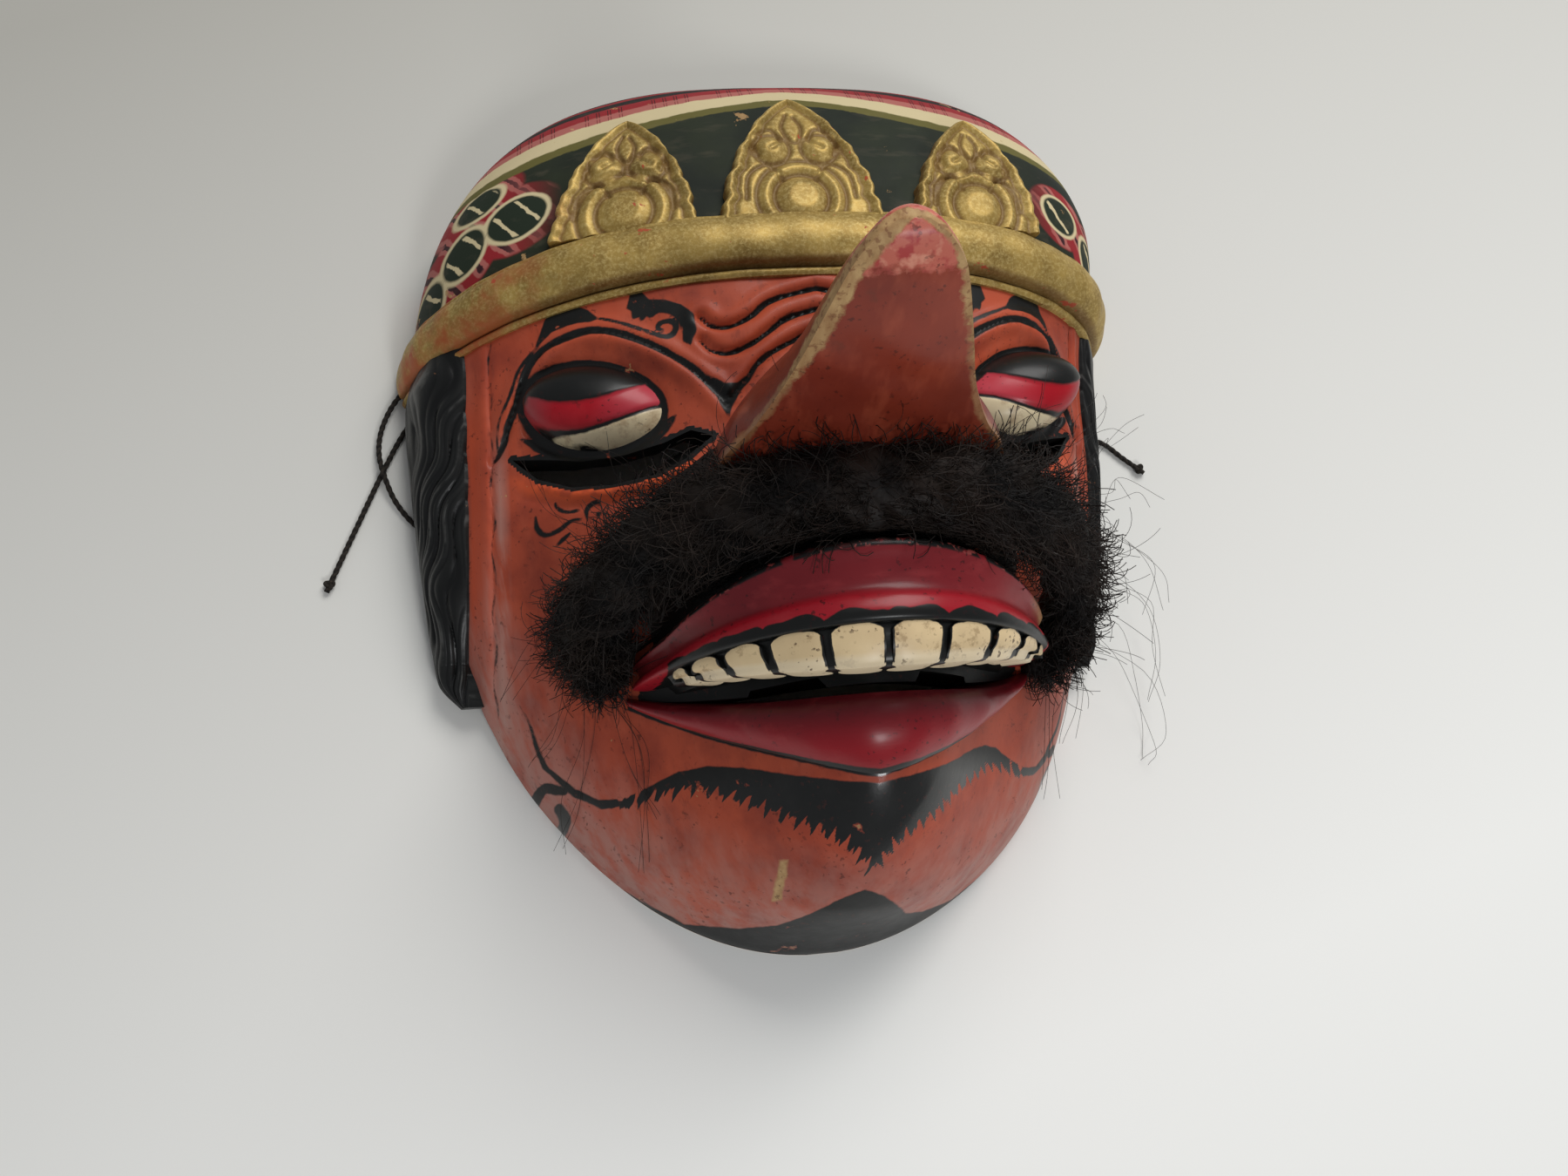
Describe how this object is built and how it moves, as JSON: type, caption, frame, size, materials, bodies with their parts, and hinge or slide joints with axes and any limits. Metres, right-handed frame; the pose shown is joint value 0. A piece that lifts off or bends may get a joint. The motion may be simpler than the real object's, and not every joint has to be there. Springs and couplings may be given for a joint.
{
  "type": "painted wooden dance mask",
  "caption": "Hollow carved and painted wooden face mask with a long nose, bared teeth, gilt diadem, carved side hair, fur moustache and a tie cord.",
  "frame": {"origin": "on the table under the middle of the carved mask and its moustache, the tie cord left out", "axes": "+Z out of the face, +Y towards the crown, +X to the viewer's right; the mask lies on its back rim"},
  "size_m": [0.184, 0.1934, 0.1166],
  "materials": {
    "painted_wood": "glossy lacquer paint, worn",
    "fur": "loose dark fur",
    "cord": "twisted matt cord"
  },
  "bodies": {
    "root": {"mask_body": "painted_wood", "moustache": "fur", "tie_cord": "cord"}
  },
  "joints": []
}
